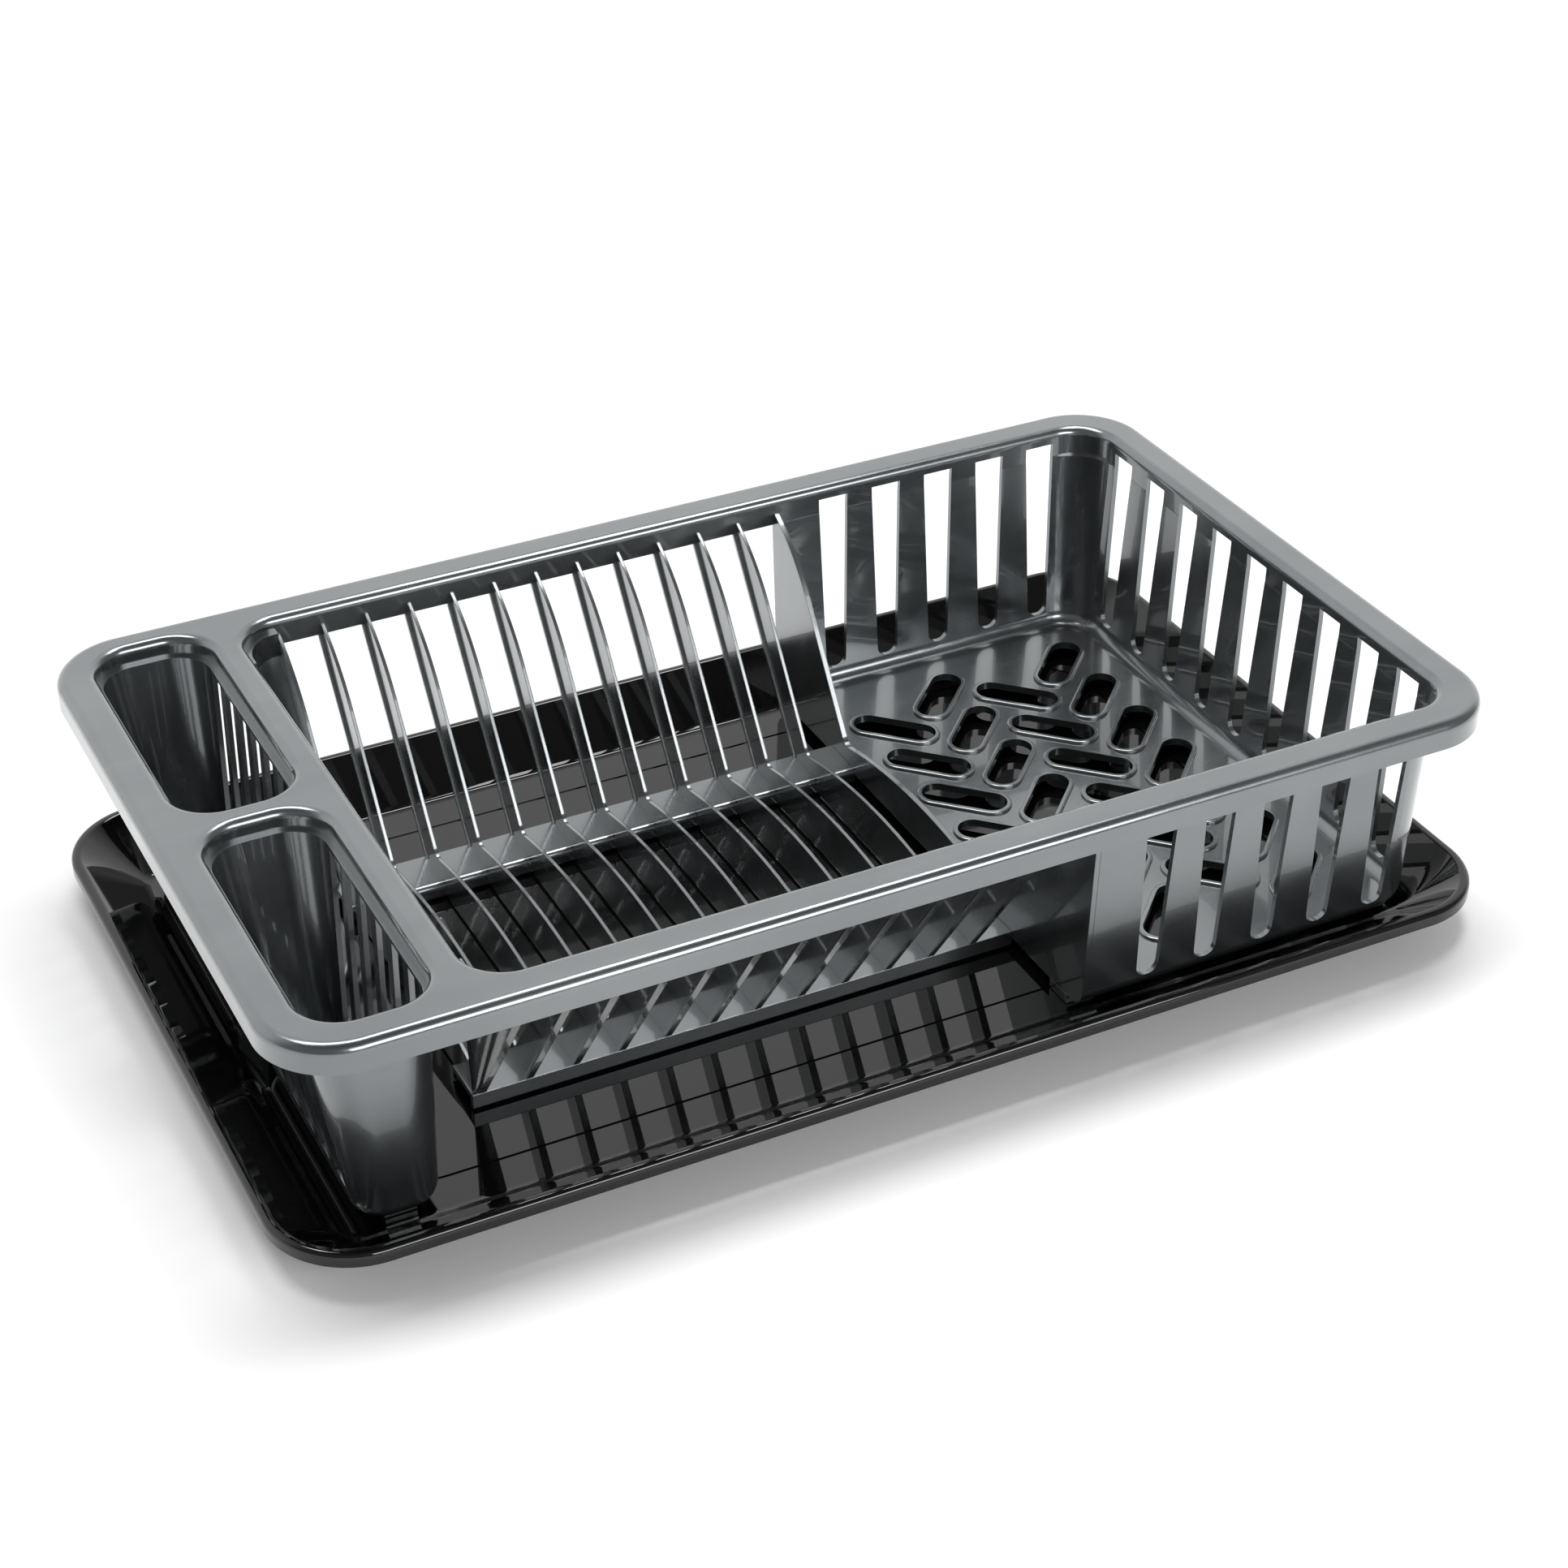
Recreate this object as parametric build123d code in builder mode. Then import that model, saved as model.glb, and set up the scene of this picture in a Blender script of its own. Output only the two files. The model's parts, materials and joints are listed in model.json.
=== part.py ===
from build123d import *
import os
from math import radians, tan

os.makedirs("parts", exist_ok=True)

# A dish drying rack moulded in one piece, standing in a loose drip tray.
# Millimetres. X runs along the rack, Y from its front to its back, Z up from the worktop.

# Overall sizes
rack_length = 481
rack_width = 289
rack_height = 102
tray_height = 20
tray_end_margin = 4.5
tray_side_margin = 5.5

# Walls and gaps
wall = 2.0
stand_gap = 0.35

# Drip tray
tray_thick = 2.2
tray_corner = 34
tray_floor_inset = 28
tray_fold = 4
tray_bend = 8
tray_lip = 3.5
tray_lip_round = 2.2
tray_skirt = 5.5
tray_skirt_thick = 1.8
groove_inset = 17.5
groove_width = 1.2
groove_depth = 0.6
groove_corner = 25

# Rim
rim_corner = 30
rim_round = 4
rim_skirt = 11
band_depth = 12.4
edge_round = 3.5

# Opening for plates and basket, measured to its walls
opening_left = 73.5
opening_right = 15.8
opening_side = 16
opening_corner = 17

# Cutlery cups
cup_left = 15.5
cup_width = 46
cup_to_side = 13.6
cup_gap = 11
cup_row_shift = 1.6
cup_corner = 17
cup_collar = 10
cup_ledge = 2
cup_step = 2
cup_foot_lift = 3.0
cup_base_width = 31
cup_base_shift = 6
cup_end_draft = 7.5
cup_base_corner = 12
cup_base_round = 7
cup_slot_width = 10.5
cup_bar_width = 5.2
cup_slot_margin = 1
cup_slot_from_top = 1.5
cup_slot_from_base = 12

# Plate bay
blade_count = 13
blade_pitch = 18.33
blade_thick = 1.4
panel_thick = 2.2
blade_first = 18
blade_drop = 7.4
blade_arm = 16.5
blade_bend = 33
blade_notch_round = 5
blade_notch_rise = 6.5
blade_arch_rise = 14
strip_top_width = 4
strip_base_width = 2.7
gusset_turn = 75
gusset_foot = 0.5
rail_level = 9.5
rail_outer = 75.3
rail_width = 21.3
rail_depth = 6
rail_round = 2.5
rail_overhang = 4

# Basket
basket_draft = 3.0
basket_round = 8
basket_floor_drop = 1.0
slot_drop = 6
slot_top_width = 13.6
slot_base_width = 9.4
slot_base_rise = 5.5
slot_pitch = 25.3
end_slots = 9
first_slot = 20
slot_to_post = 1.5
end_slot_to_post = 3.5
hole_length = 36
hole_width = 13
hole_pitch = 30.1
hole_from_end = 30
hole_from_panel = 20
hole_border = 2
hole_border_rise = 1.2
foot_size = 12
foot_inset = 10
pad_thick = 2.5
pad_top_drop = 6
pad_height = 12
pad_side = 12

# Places worked out from the sizes above
rack_top = rack_height
tray_length = rack_length + 2 * tray_end_margin
tray_width = rack_width + 2 * tray_side_margin
skirt_bottom = rack_top - rim_skirt
band_bottom = rack_top - band_depth
half_length = rack_length / 2
half_width = rack_width / 2
open_x0 = -half_length + opening_left
open_x1 = half_length - opening_right
open_y = half_width - opening_side
cup_x0 = -half_length + cup_left
cup_x1 = cup_x0 + cup_width
cup_length = half_width - cup_to_side - cup_gap / 2
cup_rear_y = cup_row_shift + cup_gap / 2 + cup_length / 2
cup_front_y = cup_row_shift - cup_gap / 2 - cup_length / 2
cup_mid_x = (cup_x0 + cup_x1) / 2
stand_level = tray_thick + stand_gap
cup_base = stand_level + cup_foot_lift
cup_top = rack_top - cup_collar + cup_ledge
left_cut = open_x0 + opening_corner
right_cut = open_x1 - opening_corner
end_cut = open_y - opening_corner
blade_x0 = open_x0 + blade_first
panel_x = blade_x0 + (blade_count - 1) * blade_pitch
rail_inner = rail_outer - rail_width
rail_bottom = rail_level - rail_depth
basket_floor_top = rail_level - basket_floor_drop
basket_rise = band_bottom - basket_floor_top + wall
basket_lean = basket_rise * tan(radians(basket_draft))
basket_base_y = open_y - basket_lean
basket_base_x = open_x1 - basket_lean
slot_x0 = panel_x + first_slot + slot_top_width / 2
slot_x1 = right_cut - slot_to_post - slot_top_width / 2
side_slots = int((slot_x1 - slot_x0) / slot_pitch) + 1
end_slot_pitch = (2 * end_cut - 2 * end_slot_to_post - slot_top_width) / (end_slots - 1)
cup_slot_pitch = cup_slot_width + cup_bar_width
cup_slot_room = cup_length - 2 * cup_corner - 2 * cup_slot_margin
cup_slots = int((cup_slot_room + cup_bar_width) / cup_slot_pitch)


def block(x0, x1, y0, y1, z0, z1, mode=Mode.ADD):
    """A box given by its two ends on each axis."""
    with Locations(((x0 + x1) / 2, (y0 + y1) / 2, (z0 + z1) / 2)):
        Box(x1 - x0, y1 - y0, z1 - z0, mode=mode)


def cutout(source, x0, x1, y0, y1, z0=0, z1=rack_height):
    """The share of a moulding that lies inside a box."""
    with BuildPart() as share:
        add(source)
        block(x0, x1, y0, y1, z0, z1, mode=Mode.INTERSECT)
    return share.part


def save(part, name):
    part.label = name
    export_step(part, f"parts/{name}.step")


# Drip tray floor, with a groove that follows its edge
floor_x = tray_length / 2 - tray_floor_inset
floor_y = tray_width / 2 - tray_floor_inset
with BuildPart() as tray_floor:
    with BuildSketch():
        RectangleRounded(
            2 * floor_x - 2 * tray_fold,
            2 * floor_y - 2 * tray_fold,
            tray_corner - tray_floor_inset - tray_fold,
        )
    extrude(amount=tray_thick)
    groove_length = 2 * floor_x - 2 * groove_inset
    groove_breadth = 2 * floor_y - 2 * groove_inset
    with BuildSketch(Plane.XY.offset(tray_thick - groove_depth)):
        RectangleRounded(groove_length, groove_breadth, groove_corner)
        RectangleRounded(
            groove_length - 2 * groove_width,
            groove_breadth - 2 * groove_width,
            groove_corner - groove_width,
            mode=Mode.SUBTRACT,
        )
    extrude(amount=groove_depth, mode=Mode.SUBTRACT)
save(tray_floor.part, "tray_floor")


def tray_profile(plane, start):
    """Section of the tray's sloping wall, lip and turned-down edge, outwards from its flat floor."""
    edge = start + tray_floor_inset
    slope_end = edge - tray_lip
    inside = edge - tray_skirt_thick
    with BuildSketch(plane) as section:
        Polygon(
            (start - tray_fold, 0),
            (start - tray_fold, tray_thick),
            (start, tray_thick),
            (slope_end, tray_height),
            (edge, tray_height),
            (edge, tray_height - tray_skirt),
            (inside, tray_height - tray_skirt),
            (inside, tray_height - tray_skirt_thick),
            (start + tray_skirt_thick, 0),
            align=None,
        )
        lip = section.vertices().filter_by_position(Axis.Y, tray_height, tray_height)
        fillet(lip, tray_lip_round)
        fillet(section.vertices().sort_by_distance((start, tray_thick))[0], tray_bend)
    return section.sketch


def tray_wall(origin, outward, along, length):
    with BuildPart() as side:
        extrude(tray_profile(Plane(origin=origin, x_dir=outward, z_dir=along), 0), amount=length)
    return side.part


def tray_turn(centre, outward):
    plane = Plane(origin=centre, x_dir=outward, z_dir=(outward[1], -outward[0], 0))
    with BuildPart() as turn:
        profile = tray_profile(plane, tray_corner - tray_floor_inset)
        revolve(profile, axis=Axis(centre, (0, 0, 1)), revolution_arc=90)
    return turn.part


turn_x = tray_length / 2 - tray_corner
turn_y = tray_width / 2 - tray_corner
save(tray_wall((-turn_x, floor_y, 0), (0, 1, 0), (1, 0, 0), 2 * turn_x), "tray_wall_rear")
save(tray_wall((turn_x, -floor_y, 0), (0, -1, 0), (-1, 0, 0), 2 * turn_x), "tray_wall_front")
save(tray_wall((floor_x, turn_y, 0), (1, 0, 0), (0, -1, 0), 2 * turn_y), "tray_wall_right")
save(tray_wall((-floor_x, -turn_y, 0), (-1, 0, 0), (0, 1, 0), 2 * turn_y), "tray_wall_left")
save(tray_turn((turn_x, turn_y, 0), (1, 0, 0)), "tray_corner_rear_right")
save(tray_turn((-turn_x, turn_y, 0), (0, 1, 0)), "tray_corner_rear_left")
save(tray_turn((-turn_x, -turn_y, 0), (-1, 0, 0)), "tray_corner_front_left")
save(tray_turn((turn_x, -turn_y, 0), (0, -1, 0)), "tray_corner_front_right")


# Rim of the rack, with a downturned skirt and a band around each opening
def opening_outline(grow=0):
    with Locations(((open_x0 + open_x1) / 2, 0)):
        RectangleRounded(
            open_x1 - open_x0 + 2 * grow, 2 * open_y + 2 * grow, opening_corner + grow
        )


def cup_outline(y, grow=0):
    with Locations((cup_mid_x, y)):
        RectangleRounded(cup_width + 2 * grow, cup_length + 2 * grow, cup_corner + grow)


with BuildPart() as rim:
    with BuildSketch(Plane.XY.offset(skirt_bottom)):
        RectangleRounded(rack_length, rack_width, rim_corner)
    extrude(amount=rim_skirt)
    fillet(rim.edges().group_by(Axis.Z)[-1], rim_round)
    with BuildSketch(Plane.XY.offset(skirt_bottom)):
        RectangleRounded(rack_length - 2 * wall, rack_width - 2 * wall, rim_corner - wall)
    extrude(amount=rim_skirt - wall, mode=Mode.SUBTRACT)
    with BuildSketch(Plane.XY.offset(band_bottom)):
        opening_outline(wall)
    extrude(amount=band_depth - wall)
    with BuildSketch(Plane.XY.offset(rack_top - cup_collar)):
        cup_outline(cup_rear_y, wall)
        cup_outline(cup_front_y, wall)
    extrude(amount=cup_collar - wall)
    with BuildSketch(Plane.XY.offset(band_bottom)):
        opening_outline()
        cup_outline(cup_rear_y)
        cup_outline(cup_front_y)
    extrude(amount=band_depth, mode=Mode.SUBTRACT)
    inner_edges = rim.edges().filter_by_position(Axis.Z, rack_top, rack_top).filter_by(
        lambda e: abs(e.center().X) < half_length - rim_round - 1
        and abs(e.center().Y) < half_width - rim_round - 1
    )
    fillet(inner_edges, edge_round)


# Slots that open the basket's sides, widest at the top
def slot_shape(origin, along, outward):
    half_top = slot_top_width / 2
    half_base = slot_base_width / 2
    top = rack_top - slot_drop
    base = basket_floor_top + slot_base_rise
    with BuildSketch(Plane(origin=origin, x_dir=along, z_dir=outward)) as shape:
        Polygon(
            (-half_top, top), (half_top, top), (half_base, base), (-half_base, base), align=None
        )
        fillet(shape.vertices().group_by(Axis.Y)[0], half_base * 0.95)
    return shape.sketch


side_slot_depth = open_y + wall + 1
end_slot_depth = open_x1 + wall + 1 - right_cut
with BuildPart() as side_slot_tools:
    for i in range(side_slots):
        x = slot_x0 + i * slot_pitch
        extrude(slot_shape((x, side_slot_depth, 0), (-1, 0, 0), (0, 1, 0)), amount=-2 * side_slot_depth)

with BuildPart() as end_slot_tools:
    for i in range(end_slots):
        y = (i - (end_slots - 1) / 2) * end_slot_pitch
        extrude(slot_shape((right_cut, y, 0), (0, 1, 0), (1, 0, 0)), amount=end_slot_depth)

# Thickened pads inside the two corners beside the first blade
pad_top = rack_top - pad_top_drop
with BuildPart() as pads:
    with BuildSketch(Plane.XY.offset(pad_top - pad_height)) as pad_ring:
        opening_outline()
        with Locations(((open_x0 + open_x1) / 2, 0)):
            RectangleRounded(
                open_x1 - open_x0 - 2 * pad_thick,
                2 * open_y - 2 * pad_thick,
                opening_corner - pad_thick,
                mode=Mode.SUBTRACT,
            )
    extrude(amount=pad_height)
    block(open_x0, blade_x0 - blade_thick / 2, -open_y, open_y, 0, rack_top, mode=Mode.INTERSECT)
    block(
        open_x0,
        blade_x0,
        pad_side - open_y + opening_corner / 2,
        open_y - pad_side - opening_corner / 2,
        0,
        rack_top,
        mode=Mode.SUBTRACT,
    )

with BuildPart() as slotted_rim:
    add(rim.part)
    add(side_slot_tools.part, mode=Mode.SUBTRACT)
    add(end_slot_tools.part, mode=Mode.SUBTRACT)
    add(pads.part)

far_x = half_length + 1
far_y = half_width + 1
rim_nodes = {
    "rim_left": (-far_x, cup_x0, -end_cut, end_cut),
    "rim_right": (right_cut, far_x, -end_cut, end_cut),
    "rim_rear": (left_cut, right_cut, end_cut, far_y),
    "rim_front": (left_cut, right_cut, -far_y, -end_cut),
    "cup_bridge": (cup_x0, cup_x1, -end_cut, end_cut),
    "plate_divider": (cup_x1, left_cut, -end_cut, end_cut),
    "rim_corner_rear_left": (-far_x, left_cut, end_cut, far_y),
    "rim_corner_front_left": (-far_x, left_cut, -far_y, -end_cut),
    "rim_corner_rear_right": (right_cut, far_x, end_cut, far_y),
    "rim_corner_front_right": (right_cut, far_x, -far_y, -end_cut),
}
for name, (x0, x1, y0, y1) in rim_nodes.items():
    save(cutout(slotted_rim.part, x0, x1, y0, y1), name)


# Cutlery cups, hanging from the ledge under each collar
def cup_section(y, level, low, grow):
    """Cup outline at a level, where low runs from 0 at the ledge to 1 at the base."""
    width = cup_width + (cup_base_width - cup_width) * low
    length = cup_length - 2 * cup_end_draft * low
    corner = cup_corner + (cup_base_corner - cup_corner) * low
    with BuildSketch(Plane.XY.offset(level)) as section:
        with Locations((cup_mid_x + cup_base_shift * low, y)):
            RectangleRounded(width + 2 * grow, length + 2 * grow, corner + grow)
    return section.sketch


def cup(y):
    with BuildPart() as shell:
        loft([cup_section(y, cup_top, 0, 0), cup_section(y, cup_base, 1, 0)])
        fillet(shell.edges().group_by(Axis.Z)[0], cup_base_round)
        loft(
            [cup_section(y, cup_top, 0, -cup_step), cup_section(y, cup_base + wall, 1, -wall)],
            mode=Mode.SUBTRACT,
        )
        for i in range(cup_slots):
            across = y + (i - (cup_slots - 1) / 2) * cup_slot_pitch
            block(
                cup_x0 - 1,
                cup_x1 + 1,
                across - cup_slot_width / 2,
                across + cup_slot_width / 2,
                cup_base + cup_slot_from_base,
                cup_top - cup_slot_from_top,
                mode=Mode.SUBTRACT,
            )
    return shell.part


def save_cup(y, name):
    shell = cup(y)
    base_top = cup_base + cup_base_round + wall
    y0 = y - cup_length / 2 + cup_corner
    y1 = y + cup_length / 2 - cup_corner
    save(cutout(shell, -far_x, cup_mid_x, y0, y1, base_top), name + "_left")
    save(cutout(shell, cup_mid_x, cup_x1, y0, y1, base_top), name + "_right")
    save(cutout(shell, -far_x, cup_x1, -far_y, y0, base_top), name + "_front")
    save(cutout(shell, -far_x, cup_x1, y1, far_y, base_top), name + "_rear")
    save(cutout(shell, -far_x, cup_x1, -far_y, far_y, 0, base_top), name + "_base")


save_cup(cup_rear_y, "cup_back")
save_cup(cup_front_y, "cup_front")


# Plate blades, each a thin web with two arms, an arch between them and a strip down each outer edge
blade_tip = rack_top - blade_drop
blade_notch = rail_level + blade_notch_rise
blade_lean = (open_y + wall - rail_outer) / (band_bottom - rail_level)
bend_level = rack_top - blade_bend
notch_y = rail_outer + blade_notch_rise * blade_lean - blade_arm
bend_y = rail_outer + (bend_level - rail_level) * blade_lean - blade_arm


def blade(x, thick, base_points):
    """A web across the opening, where base_points close its outline below the band."""
    origin = (x - thick / 2, 0, 0)
    with BuildPart() as web:
        with BuildSketch(Plane(origin=origin, x_dir=(0, 1, 0), z_dir=(1, 0, 0))) as outline:
            with BuildLine():
                rear = Line((notch_y, blade_notch), (bend_y, bend_level))
                TangentArc(rear @ 1, (open_y, blade_tip), tangent=rear % 1)
                Polyline(
                    (open_y, blade_tip),
                    *base_points,
                    *[(-y, z) for y, z in reversed(base_points)],
                    (-open_y, blade_tip),
                )
                front = Line((-notch_y, blade_notch), (-bend_y, bend_level))
                TangentArc(front @ 1, (-open_y, blade_tip), tangent=front % 1)
                ThreePointArc(
                    (-notch_y, blade_notch), (0, rail_level + blade_arch_rise), (notch_y, blade_notch)
                )
            make_face()
            notches = outline.vertices().filter_by_position(Axis.Y, blade_notch, blade_notch)
            fillet(notches, blade_notch_round)
        extrude(amount=thick)
    return web.part


def blade_strips(x):
    """The strips of leaning wall along a blade's two outer edges, widest at the rim."""
    half_top = strip_top_width / 2
    half_base = strip_base_width / 2
    with BuildPart() as strips:
        with BuildSketch(Plane(origin=(x - half_top, 0, 0), x_dir=(0, 1, 0), z_dir=(1, 0, 0))):
            for side in (-1, 1):
                Polygon(
                    (side * open_y, band_bottom),
                    (side * (open_y + wall), band_bottom),
                    (side * rail_outer, rail_level),
                    (side * (rail_outer - wall), rail_level),
                    align=None,
                )
        extrude(amount=strip_top_width)
        with BuildSketch(Plane(origin=(x, far_y, 0), x_dir=(1, 0, 0), z_dir=(0, -1, 0))):
            Polygon(
                (-half_top, band_bottom),
                (half_top, band_bottom),
                (half_base, rail_level),
                (-half_base, rail_level),
                align=None,
            )
        extrude(amount=2 * far_y, mode=Mode.INTERSECT)
    return strips.part


open_base = [
    (open_y, band_bottom),
    (open_y + wall, band_bottom),
    (rail_outer, rail_level),
    (rail_inner, rail_level),
    (rail_inner, rail_bottom),
]


def edged_blade(x):
    with BuildPart() as whole:
        add(blade(x, blade_thick, open_base))
        add(blade_strips(x))
    return whole.part


with BuildPart() as first_blade:
    add(edged_blade(blade_x0))
    add(pads.part, mode=Mode.SUBTRACT)
save(first_blade.part, "plate_blade_01")
for i in range(1, blade_count - 1):
    save(edged_blade(blade_x0 + i * blade_pitch), f"plate_blade_{i + 1:02d}")


# Corner gussets, curved walls that taper from the band down to the foot of the first blade
def gusset_section(level, centre_y, radius, side):
    start = 90 if side > 0 else 270
    turn = side * gusset_turn
    with BuildSketch(Plane.XY.offset(level)) as section:
        with BuildLine():
            inner = CenterArc((left_cut, side * centre_y), radius, start, turn)
            outer = CenterArc((left_cut, side * centre_y), radius + wall, start, turn)
            Line(inner @ 0, outer @ 0)
            Line(inner @ 1, outer @ 1)
        make_face()
    return section.sketch


def gusset(side):
    foot_y = rail_outer - wall - gusset_foot
    with BuildPart() as corner:
        loft(
            [
                gusset_section(band_bottom, end_cut, opening_corner, side),
                gusset_section(rail_level, foot_y, gusset_foot, side),
            ]
        )
        add(first_blade.part, mode=Mode.SUBTRACT)
        add(pads.part, mode=Mode.SUBTRACT)
        block(-far_x, blade_x0, -far_y, far_y, 0, rack_top, mode=Mode.INTERSECT)
    return corner.part


save(gusset(1), "bay_gusset_rear")
save(gusset(-1), "bay_gusset_front")


# Rails that carry the blades, channels with their lips turned down
rail_x0 = blade_x0 - rail_overhang
rail_x1 = panel_x - panel_thick / 2


def rail(side):
    y0, y1 = sorted((side * rail_inner, side * rail_outer))
    with BuildPart() as channel:
        block(rail_x0, rail_x1, y0, y1, rail_bottom, rail_level)
        upper = channel.edges().filter_by(Axis.X).group_by(Axis.Z)[-1]
        fillet(upper.sort_by(lambda e: abs(e.center().Y))[0], rail_round)
        block(rail_x0, rail_x1, y0 + wall, y1 - wall, rail_bottom, rail_level - wall, mode=Mode.SUBTRACT)
    return channel.part


save(rail(1), "rail_rear")
save(rail(-1), "rail_front")


# Basket, drawn as one tapered tub open on its left, then shared out into its sides
basket_x0 = panel_x - panel_thick / 2
basket_x1 = panel_x + panel_thick / 2
basket_bottom = basket_floor_top - wall
inner_round = basket_round - wall
floor_edge_x = basket_base_x - inner_round
floor_edge_y = basket_base_y - inner_round


def tub_section(level, grow):
    length = basket_base_x - open_x0
    with BuildSketch(Plane.XY.offset(level)) as section:
        with Locations(((open_x0 + basket_base_x) / 2, 0)):
            RectangleRounded(length + 2 * grow, 2 * basket_base_y + 2 * grow, opening_corner + grow)
    return section.sketch


with BuildPart() as tub_outside:
    extrude(tub_section(basket_bottom, wall), amount=basket_rise, taper=-basket_draft)
    fillet(tub_outside.edges().group_by(Axis.Z)[0], basket_round)

with BuildPart() as tub_inside:
    extrude(tub_section(basket_floor_top, 0), amount=basket_rise, taper=-basket_draft)
    fillet(tub_inside.edges().group_by(Axis.Z)[0], inner_round)

with BuildPart() as tub:
    add(tub_outside.part)
    add(tub_inside.part, mode=Mode.SUBTRACT)
    block(basket_x1, far_x, -far_y, far_y, 0, band_bottom, mode=Mode.INTERSECT)
    add(side_slot_tools.part, mode=Mode.SUBTRACT)
    add(end_slot_tools.part, mode=Mode.SUBTRACT)


def hole_places():
    """Centre and turn of each drain hole, a herringbone of full and short rows."""
    columns = int((basket_base_x - hole_from_end - basket_x1 - hole_from_panel) / hole_pitch) + 1
    full_row = int((2 * floor_edge_y - hole_length) / hole_pitch) + 1
    for column in range(columns):
        rows = full_row - column % 2
        for row in range(rows):
            x = basket_base_x - hole_from_end - column * hole_pitch
            y = (row - (rows - 1) / 2) * hole_pitch
            yield x, y, 45 - 90 * (column % 2)


with BuildPart() as basket_floor:
    add(tub.part)
    block(basket_x1, floor_edge_x, -floor_edge_y, floor_edge_y, 0, rail_level, mode=Mode.INTERSECT)
    with BuildSketch(Plane.XY.offset(basket_floor_top)):
        for x, y, turn in hole_places():
            with Locations((x, y)):
                SlotOverall(hole_length + 2 * hole_border, hole_width + 2 * hole_border, turn)
    extrude(amount=hole_border_rise)
    fillet(basket_floor.edges().group_by(Axis.Z)[-1], hole_border_rise * 0.8)
    with BuildSketch(Plane.XY.offset(basket_bottom)):
        for x, y, turn in hole_places():
            with Locations((x, y)):
                SlotOverall(hole_length, hole_width, turn)
    extrude(amount=wall + hole_border_rise, mode=Mode.SUBTRACT)
save(basket_floor.part, "basket_floor")

with BuildPart() as tub_sides:
    add(tub.part)
    block(
        basket_x1, floor_edge_x, -floor_edge_y, floor_edge_y, 0, rail_level, mode=Mode.SUBTRACT
    )
save(cutout(tub_sides.part, basket_x1, right_cut, 0, far_y), "basket_rear")
save(cutout(tub_sides.part, basket_x1, right_cut, -far_y, 0), "basket_front")
save(cutout(tub_sides.part, right_cut, far_x, -end_cut, end_cut), "basket_right")
save(cutout(tub_sides.part, right_cut, far_x, end_cut, far_y), "basket_post_rear")
save(cutout(tub_sides.part, right_cut, far_x, -far_y, -end_cut), "basket_post_front")


# Closed panel between the plate bay and the basket, with the blades' outline on top
closed_base = [
    (open_y, band_bottom),
    (open_y + wall, band_bottom),
    (open_y + wall, basket_bottom),
]
panel_blank = blade(panel_x, panel_thick, closed_base)
with BuildPart() as basket_panel:
    add(panel_blank)
    add(tub_outside.part, mode=Mode.INTERSECT)
    add(cutout(panel_blank, -far_x, far_x, -open_y, open_y, band_bottom))
save(basket_panel.part, "basket_panel")


# Feet that stand the rack on the tray's floor
with BuildPart() as basket_feet:
    for side in (-1, 1):
        left_y = side * (floor_edge_y - wall)
        right_y = side * (basket_base_y - foot_inset)
        corners = ((basket_x0, left_y, 1), (basket_base_x - foot_inset, right_y, -1))
        for corner_x, corner_y, inward in corners:
            xs = sorted((corner_x, corner_x + inward * foot_size))
            thin_xs = sorted((corner_x, corner_x + inward * wall))
            ys = sorted((corner_y, corner_y - side * wall))
            long_ys = sorted((corner_y, corner_y - side * foot_size))
            block(*xs, *ys, stand_level, basket_bottom)
            block(*thin_xs, *long_ys, stand_level, basket_bottom)
save(basket_feet.part, "basket_feet")

with BuildPart() as cup_feet:
    reach = cup_length / 2 - cup_end_draft - cup_base_round
    base_x = cup_mid_x + cup_base_shift
    for y in (cup_rear_y + reach, cup_rear_y - reach, cup_front_y + reach, cup_front_y - reach):
        block(
            base_x - foot_size / 2,
            base_x + foot_size / 2,
            y - wall / 2,
            y + wall / 2,
            stand_level,
            cup_base,
        )
save(cup_feet.part, "cup_feet")
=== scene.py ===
import json

import bpy
from mathutils import Matrix, Vector


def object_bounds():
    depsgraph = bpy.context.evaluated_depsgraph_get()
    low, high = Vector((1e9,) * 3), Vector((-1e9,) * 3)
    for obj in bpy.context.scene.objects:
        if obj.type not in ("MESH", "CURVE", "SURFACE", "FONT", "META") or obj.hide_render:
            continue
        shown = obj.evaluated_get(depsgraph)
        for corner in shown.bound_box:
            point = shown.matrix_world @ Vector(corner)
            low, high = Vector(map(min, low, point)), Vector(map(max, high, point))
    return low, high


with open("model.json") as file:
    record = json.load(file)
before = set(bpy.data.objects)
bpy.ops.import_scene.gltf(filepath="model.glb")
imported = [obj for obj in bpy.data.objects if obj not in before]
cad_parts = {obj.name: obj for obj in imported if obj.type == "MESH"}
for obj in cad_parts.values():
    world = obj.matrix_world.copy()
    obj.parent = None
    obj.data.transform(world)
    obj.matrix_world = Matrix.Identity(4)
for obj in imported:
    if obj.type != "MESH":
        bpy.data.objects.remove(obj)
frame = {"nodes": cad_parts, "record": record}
cad_box = [list(corner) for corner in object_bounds()]
top = cad_box[1][2]

# Materials' tones, from the darkest flow mark to the lightest
rack_dark, rack_light = (0.145, 0.16, 0.168, 1), (0.235, 0.248, 0.253, 1)
tray_dark, tray_light = (0.0018, 0.0018, 0.0018, 1), (0.0035, 0.0034, 0.0032, 1)
floor_white = (0.93, 0.93, 0.93, 1)
edge_radius = 0.0006


# Materials
def shader(name):
    made = bpy.data.materials.new(name)
    made.use_nodes = True
    return made, made.node_tree.nodes, made.node_tree.links, made.node_tree.nodes["Principled BSDF"]


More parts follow.
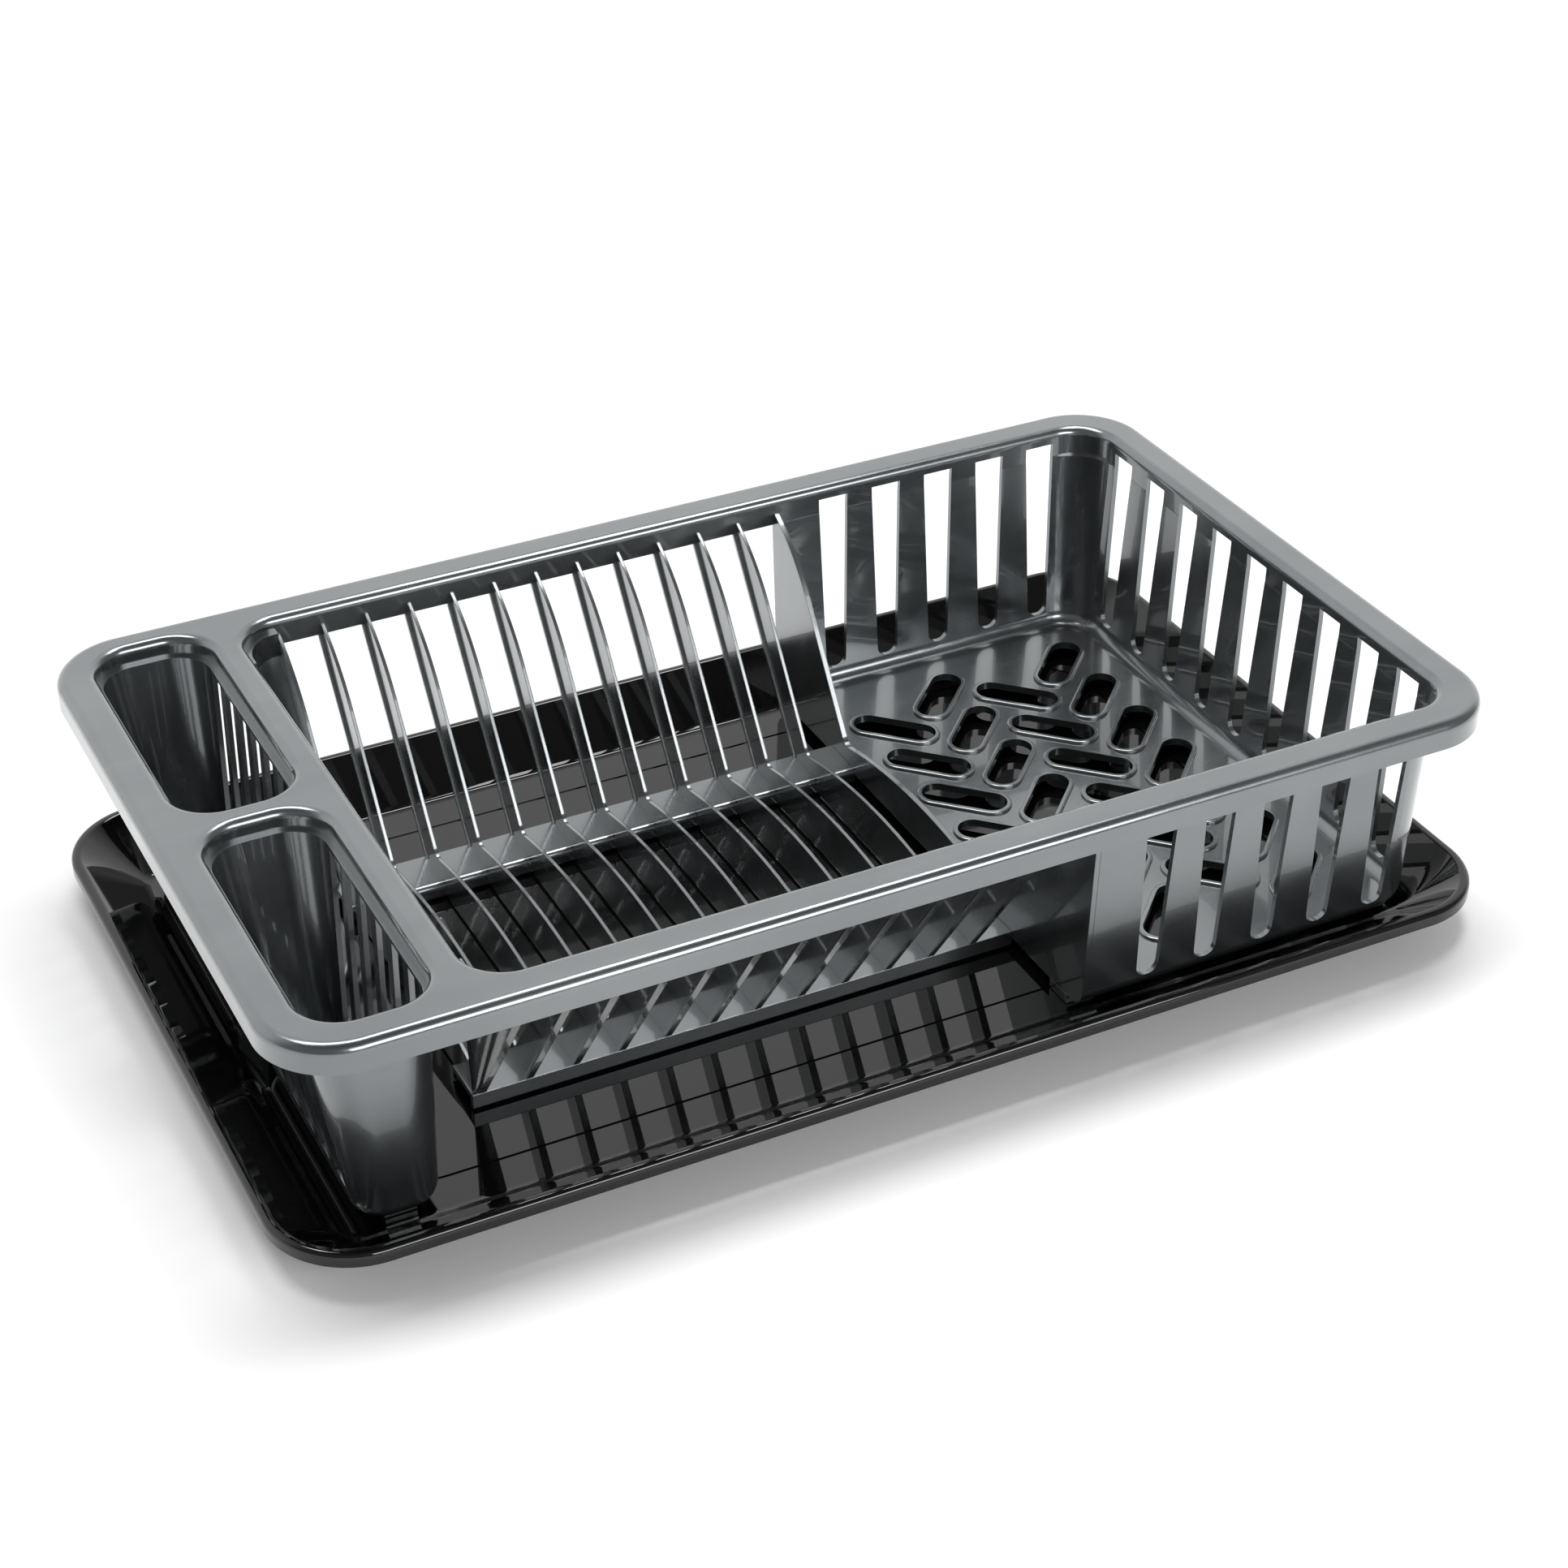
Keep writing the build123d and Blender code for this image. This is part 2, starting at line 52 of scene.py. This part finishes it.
def noise(nodes, links, coords, scale, detail=3.0, roughness=0.5):
    n = nodes.new("ShaderNodeTexNoise")
    n.inputs["Scale"].default_value = scale
    n.inputs["Detail"].default_value = detail
    n.inputs["Roughness"].default_value = roughness
    links.new(coords, n.inputs["Vector"])
    return n.outputs["Fac"]


def ramp(nodes, links, value, low, high, dark, light):
    r = nodes.new("ShaderNodeMapRange")
    r.inputs["From Min"].default_value = low
    r.inputs["From Max"].default_value = high
    r.inputs["To Min"].default_value = dark
    r.inputs["To Max"].default_value = light
    links.new(value, r.inputs["Value"])
    return r.outputs["Result"]


def stretched(nodes, links, coords, scale):
    mapping = nodes.new("ShaderNodeMapping")
    mapping.inputs["Scale"].default_value = scale
    links.new(coords, mapping.inputs["Vector"])
    return mapping.outputs["Vector"]


def bump(nodes, links, height, strength, distance, normal=None):
    b = nodes.new("ShaderNodeBump")
    b.inputs["Strength"].default_value = strength
    b.inputs["Distance"].default_value = distance
    links.new(height, b.inputs["Height"])
    if normal:
        links.new(normal, b.inputs["Normal"])
    return b.outputs["Normal"]


def rounded(nodes, radius):
    """Edges shaded as if they were rounded."""
    soft = nodes.new("ShaderNodeBevel")
    soft.samples = 4
    soft.inputs["Radius"].default_value = radius
    return soft.outputs["Normal"]


def rack_plastic(name, edge):
    """Silver-grey moulded plastic: a pearl of metal flake under a clear glossy skin."""
    made, nodes, links, bsdf = shader(name)
    coords = nodes.new("ShaderNodeTexCoord").outputs["Object"]
    cloud = noise(nodes, links, coords, 11.0, 4.0)
    flow = noise(nodes, links, stretched(nodes, links, coords, (16.0, 70.0, 22.0)), 1.0, 4.0, 0.6)
    mottle = nodes.new("ShaderNodeMath")
    mottle.operation = "MULTIPLY_ADD"
    mottle.inputs[1].default_value = 0.5
    links.new(flow, mottle.inputs[0])
    links.new(ramp(nodes, links, cloud, 0.3, 0.7, 0.0, 0.5), mottle.inputs[2])
    mix = nodes.new("ShaderNodeMix")
    mix.data_type = "RGBA"
    mix.inputs["A"].default_value = rack_dark
    mix.inputs["B"].default_value = rack_light
    links.new(mottle.outputs[0], mix.inputs["Factor"])
    links.new(mix.outputs["Result"], bsdf.inputs["Base Color"])
    links.new(ramp(nodes, links, flow, 0.3, 0.7, 0.2, 0.28), bsdf.inputs["Roughness"])
    bsdf.inputs["Metallic"].default_value = 0.9
    bsdf.inputs["Coat Weight"].default_value = 1.0
    bsdf.inputs["Coat Roughness"].default_value = 0.04
    normal = rounded(nodes, edge) if edge else None
    ripple = noise(nodes, links, coords, 38.0, 2.0)
    normal = bump(nodes, links, ripple, 0.12, 0.0006, normal)
    flake = noise(nodes, links, coords, 2600.0, 1.0)
    links.new(bump(nodes, links, flake, 0.05, 0.0002, normal), bsdf.inputs["Normal"])
    links.new(normal, bsdf.inputs["Coat Normal"])
    return made


def tray_plastic():
    """Black high-gloss plastic with faint scuffs and the slight waviness of a thin moulding."""
    made, nodes, links, bsdf = shader("tray_plastic")
    coords = nodes.new("ShaderNodeTexCoord").outputs["Object"]
    smear = noise(nodes, links, coords, 14.0, 5.0)
    mix = nodes.new("ShaderNodeMix")
    mix.data_type = "RGBA"
    mix.inputs["A"].default_value = tray_dark
    mix.inputs["B"].default_value = tray_light
    links.new(smear, mix.inputs["Factor"])
    links.new(mix.outputs["Result"], bsdf.inputs["Base Color"])
    links.new(ramp(nodes, links, smear, 0.35, 0.75, 0.025, 0.06), bsdf.inputs["Roughness"])
    bsdf.inputs["IOR"].default_value = 1.54
    wave = noise(nodes, links, coords, 16.0, 1.0)
    links.new(bump(nodes, links, wave, 0.10, 0.001), bsdf.inputs["Normal"])
    return made


# Thin members get rounded-looking edges, while the rim and cups are cut between nodes and stay plain
smooth_rack = rack_plastic("rack_plastic", 0)
edged_rack = rack_plastic("rack_plastic_thin", edge_radius)
black = tray_plastic()
thin_parts = ("plate_blade", "rail", "basket_panel", "basket_feet", "cup_feet")
for entry in frame["record"]["subparts"]:
    name, slot = entry["node"], entry["material_slot"]
    node = frame["nodes"][name]
    silver = edged_rack if name.startswith(thin_parts) else smooth_rack
    node.data.materials.clear()
    node.data.materials.append(black if slot == "tray_plastic" else silver)


# Stage: a pale floor, soft studio light
aim = Vector((0, 0, 0.05))


def floor():
    bpy.ops.mesh.primitive_plane_add(size=60, location=(0, 0, 0))
    plane = bpy.context.object
    plane.name = "floor"
    made, nodes, links, bsdf = shader("floor")
    bsdf.inputs["Base Color"].default_value = floor_white
    bsdf.inputs["Roughness"].default_value = 0.75
    plane.data.materials.append(made)


def area_light(name, place, size, power):
    data = bpy.data.lights.new(name, "AREA")
    data.shape = "RECTANGLE"
    data.size, data.size_y = size
    data.energy = power
    lamp = bpy.data.objects.new(name, data)
    bpy.context.scene.collection.objects.link(lamp)
    lamp.location = place
    lamp.rotation_mode = "QUATERNION"
    lamp.rotation_quaternion = (Vector(place) - aim).to_track_quat("Z", "Y")


def studio():
    """White behind the object, dimmer overhead, in front and at the sides."""
    world = bpy.data.worlds.new("studio")
    bpy.context.scene.world = world
    world.use_nodes = True
    nodes, links = world.node_tree.nodes, world.node_tree.links
    split = nodes.new("ShaderNodeSeparateXYZ")
    links.new(nodes.new("ShaderNodeTexCoord").outputs["Generated"], split.inputs["Vector"])
    back = ramp(nodes, links, split.outputs["Y"], -0.05, 0.35, 0.25, 1.08)
    high = ramp(nodes, links, split.outputs["Z"], 0.66, 0.9, 1.0, 0.4)
    level = nodes.new("ShaderNodeMath")
    level.operation = "MULTIPLY"
    links.new(back, level.inputs[0])
    links.new(high, level.inputs[1])
    links.new(level.outputs[0], nodes["Background"].inputs["Strength"])
    nodes["Background"].inputs["Color"].default_value = (1, 1, 1, 1)


floor()
studio()
area_light("overhead", (0.45, 0.15, 1.3), (0.35, 0.35), 3)
area_light("back_bank", (0.0, 0.9, 3.6), (3.0, 0.9), 85)
area_light("front", (0.5, -2.6, 1.3), (2.0, 1.0), 45)
bpy.context.scene.view_settings.view_transform = "Standard"

# Camera at the photograph's angle
eye = Vector((-0.43048, -0.88287, 0.5904 + top))
right = Vector((0.902298, -0.430799, -0.016432))
down = Vector((-0.24714, -0.485645, -0.838493))
ahead = Vector((0.353242, 0.760632, -0.544665))
turn = Matrix((right, -down, -ahead)).transposed()

data = bpy.data.cameras.new("camera")
data.lens = 69.438
data.sensor_width = 36
data.shift_x = 0.045
data.clip_start, data.clip_end = 0.05, 50
camera = bpy.data.objects.new("camera", data)
camera.matrix_world = Matrix.Translation(eye) @ turn.to_4x4()
bpy.context.scene.collection.objects.link(camera)
bpy.context.scene.camera = camera
